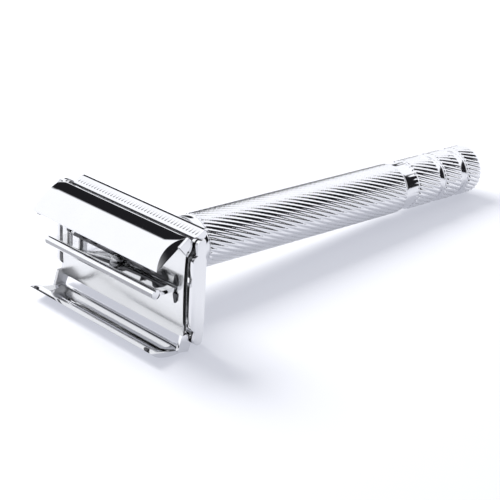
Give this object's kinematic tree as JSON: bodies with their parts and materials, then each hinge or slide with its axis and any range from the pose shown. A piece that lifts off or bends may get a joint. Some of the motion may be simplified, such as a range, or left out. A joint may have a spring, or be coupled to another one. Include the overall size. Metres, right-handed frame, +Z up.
{
  "type": "safety razor",
  "caption": "Twist-to-open double-edge safety razor lying on its side, with hinged butterfly doors over a blade bed, a spiral-fluted tube handle and a knurled turning knob.",
  "frame": {"origin": "centre of the bounding box's footprint, on the level surface the razor lies on", "axes": "+X from the head to the knob's end, +Y along the blade, +Z up; the handle dips about 3.6 degrees towards the knob, because the knob's rim and the open lower door both rest on the surface"},
  "size_m": [0.1236, 0.0466, 0.0259],
  "materials": {
    "grip_tube": "polished, spiral fluted",
    "head_collar": "polished",
    "rod_guide": "turned",
    "bearing_bush": "turned",
    "retaining_ring": "plain",
    "thrust_washer": "plain",
    "spring_washer": "plain",
    "knob": "polished, knurled",
    "end_plug": "polished",
    "drive_sleeve": "turned",
    "push_rod": "turned",
    "bar_pin": "plain",
    "centre_bar": "polished",
    "head_base": "polished",
    "guard_upper": "polished",
    "guard_lower": "polished",
    "blade_bed": "polished",
    "locating_plate_upper": "plain",
    "locating_plate_lower": "plain",
    "bracket_right": "polished",
    "bracket_left": "polished",
    "door_upper": "polished",
    "door_lower": "polished",
    "hinge_pin_upper_right": "plain",
    "hinge_pin_upper_left": "plain",
    "hinge_pin_lower_right": "plain",
    "hinge_pin_lower_left": "plain"
  },
  "bodies": {
    "handle": {"grip_tube": "grip_tube", "head_collar": "head_collar", "rod_guide": "rod_guide", "bearing_bush": "bearing_bush", "thrust_washer": "thrust_washer", "head_base": "head_base", "guard_upper": "guard_upper", "guard_lower": "guard_lower", "blade_bed": "blade_bed", "locating_plate_upper": "locating_plate_upper", "locating_plate_lower": "locating_plate_lower", "bracket_right": "bracket_right", "bracket_left": "bracket_left", "hinge_pin_upper_right": "hinge_pin_upper_right", "hinge_pin_upper_left": "hinge_pin_upper_left", "hinge_pin_lower_right": "hinge_pin_lower_right", "hinge_pin_lower_left": "hinge_pin_lower_left"},
    "lift": {"centre_bar": "centre_bar", "push_rod": "push_rod", "bar_pin": "bar_pin"},
    "upper_door": {"door_upper": "door_upper"},
    "lower_door": {"door_lower": "door_lower"},
    "twist_knob": {"knob": "knob", "end_plug": "end_plug", "drive_sleeve": "drive_sleeve", "retaining_ring": "retaining_ring", "spring_washer": "spring_washer"}
  },
  "joints": [
    {"name": "bar_lift", "type": "slide", "parent": "handle", "child": "lift", "axis": [0.998, 0, -0.064], "range_m": [0, 0.0025]},
    {"name": "knob_turn", "type": "hinge", "parent": "handle", "child": "twist_knob", "pos_m": [0.04618, 0, 0.00721], "axis": [-0.998, 0, 0.064], "range_deg": [0, 540]},
    {"name": "upper_door_swing", "type": "hinge", "parent": "handle", "child": "upper_door", "pos_m": [-0.04956, 0, 0.02376], "axis": [0, -1, 0], "range_deg": [0, 34]},
    {"name": "lower_door_swing", "type": "hinge", "parent": "handle", "child": "lower_door", "pos_m": [-0.05089, 0, 0.00301], "axis": [0, 1, 0], "range_deg": [0, 60]}
  ],
  "couplings": [
    {"joint": "knob_turn", "follows": "bar_lift", "rad_per_m": 3769.9},
    {"joint": "upper_door_swing", "follows": "bar_lift", "rad_per_m": 237.36},
    {"joint": "lower_door_swing", "follows": "bar_lift", "rad_per_m": 418.88}
  ]
}
